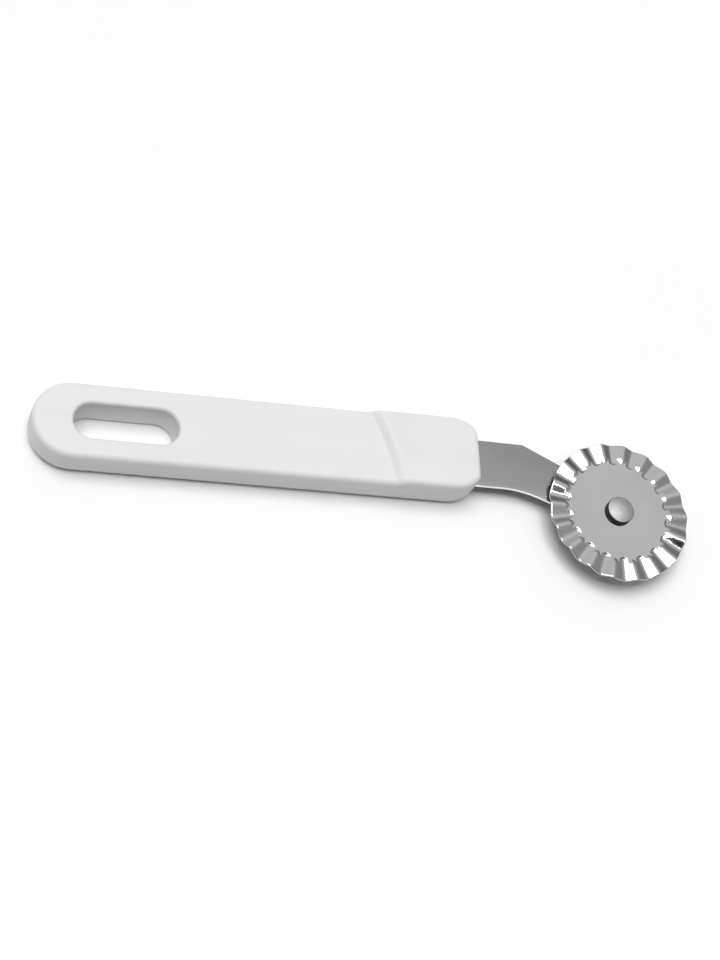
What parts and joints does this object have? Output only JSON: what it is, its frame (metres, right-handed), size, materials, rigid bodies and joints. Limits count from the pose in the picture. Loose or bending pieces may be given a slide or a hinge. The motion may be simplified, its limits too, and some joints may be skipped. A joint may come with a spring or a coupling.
{
  "type": "pastry cutter wheel",
  "caption": "Hand-held fluted pastry cutter: a flat moulded handle with a hanging slot, a cranked sheet-steel shank and a free-spinning fluted wheel.",
  "frame": {"origin": "middle of the handle's flat back, on its centre line", "axes": "+X along the handle towards the wheel, +Z out of the handle's face (the side the wheel is on), +Y across the handle, away from the side the wheel is offset to"},
  "size_m": [0.1781, 0.0423, 0.0108],
  "materials": {
    "handle_plastic": "white moulded plastic, satin",
    "shank_steel": "stamped stainless sheet, finely brushed",
    "wheel_steel": "pressed stainless sheet, polished",
    "rivet_steel": "turned stainless, satin",
    "washer_steel": "turned stainless, satin"
  },
  "bodies": {
    "tool": {"handle": "handle_plastic", "shank": "shank_steel", "axle_rivet": "rivet_steel", "spacer_washer": "washer_steel"},
    "wheel": {"cutting_wheel": "wheel_steel"}
  },
  "joints": [
    {"name": "wheel_spin", "type": "hinge", "parent": "tool", "child": "wheel", "pos_m": [0.0991, -0.0118, 0.0071], "axis": [0, 0, 1], "continuous": true}
  ]
}
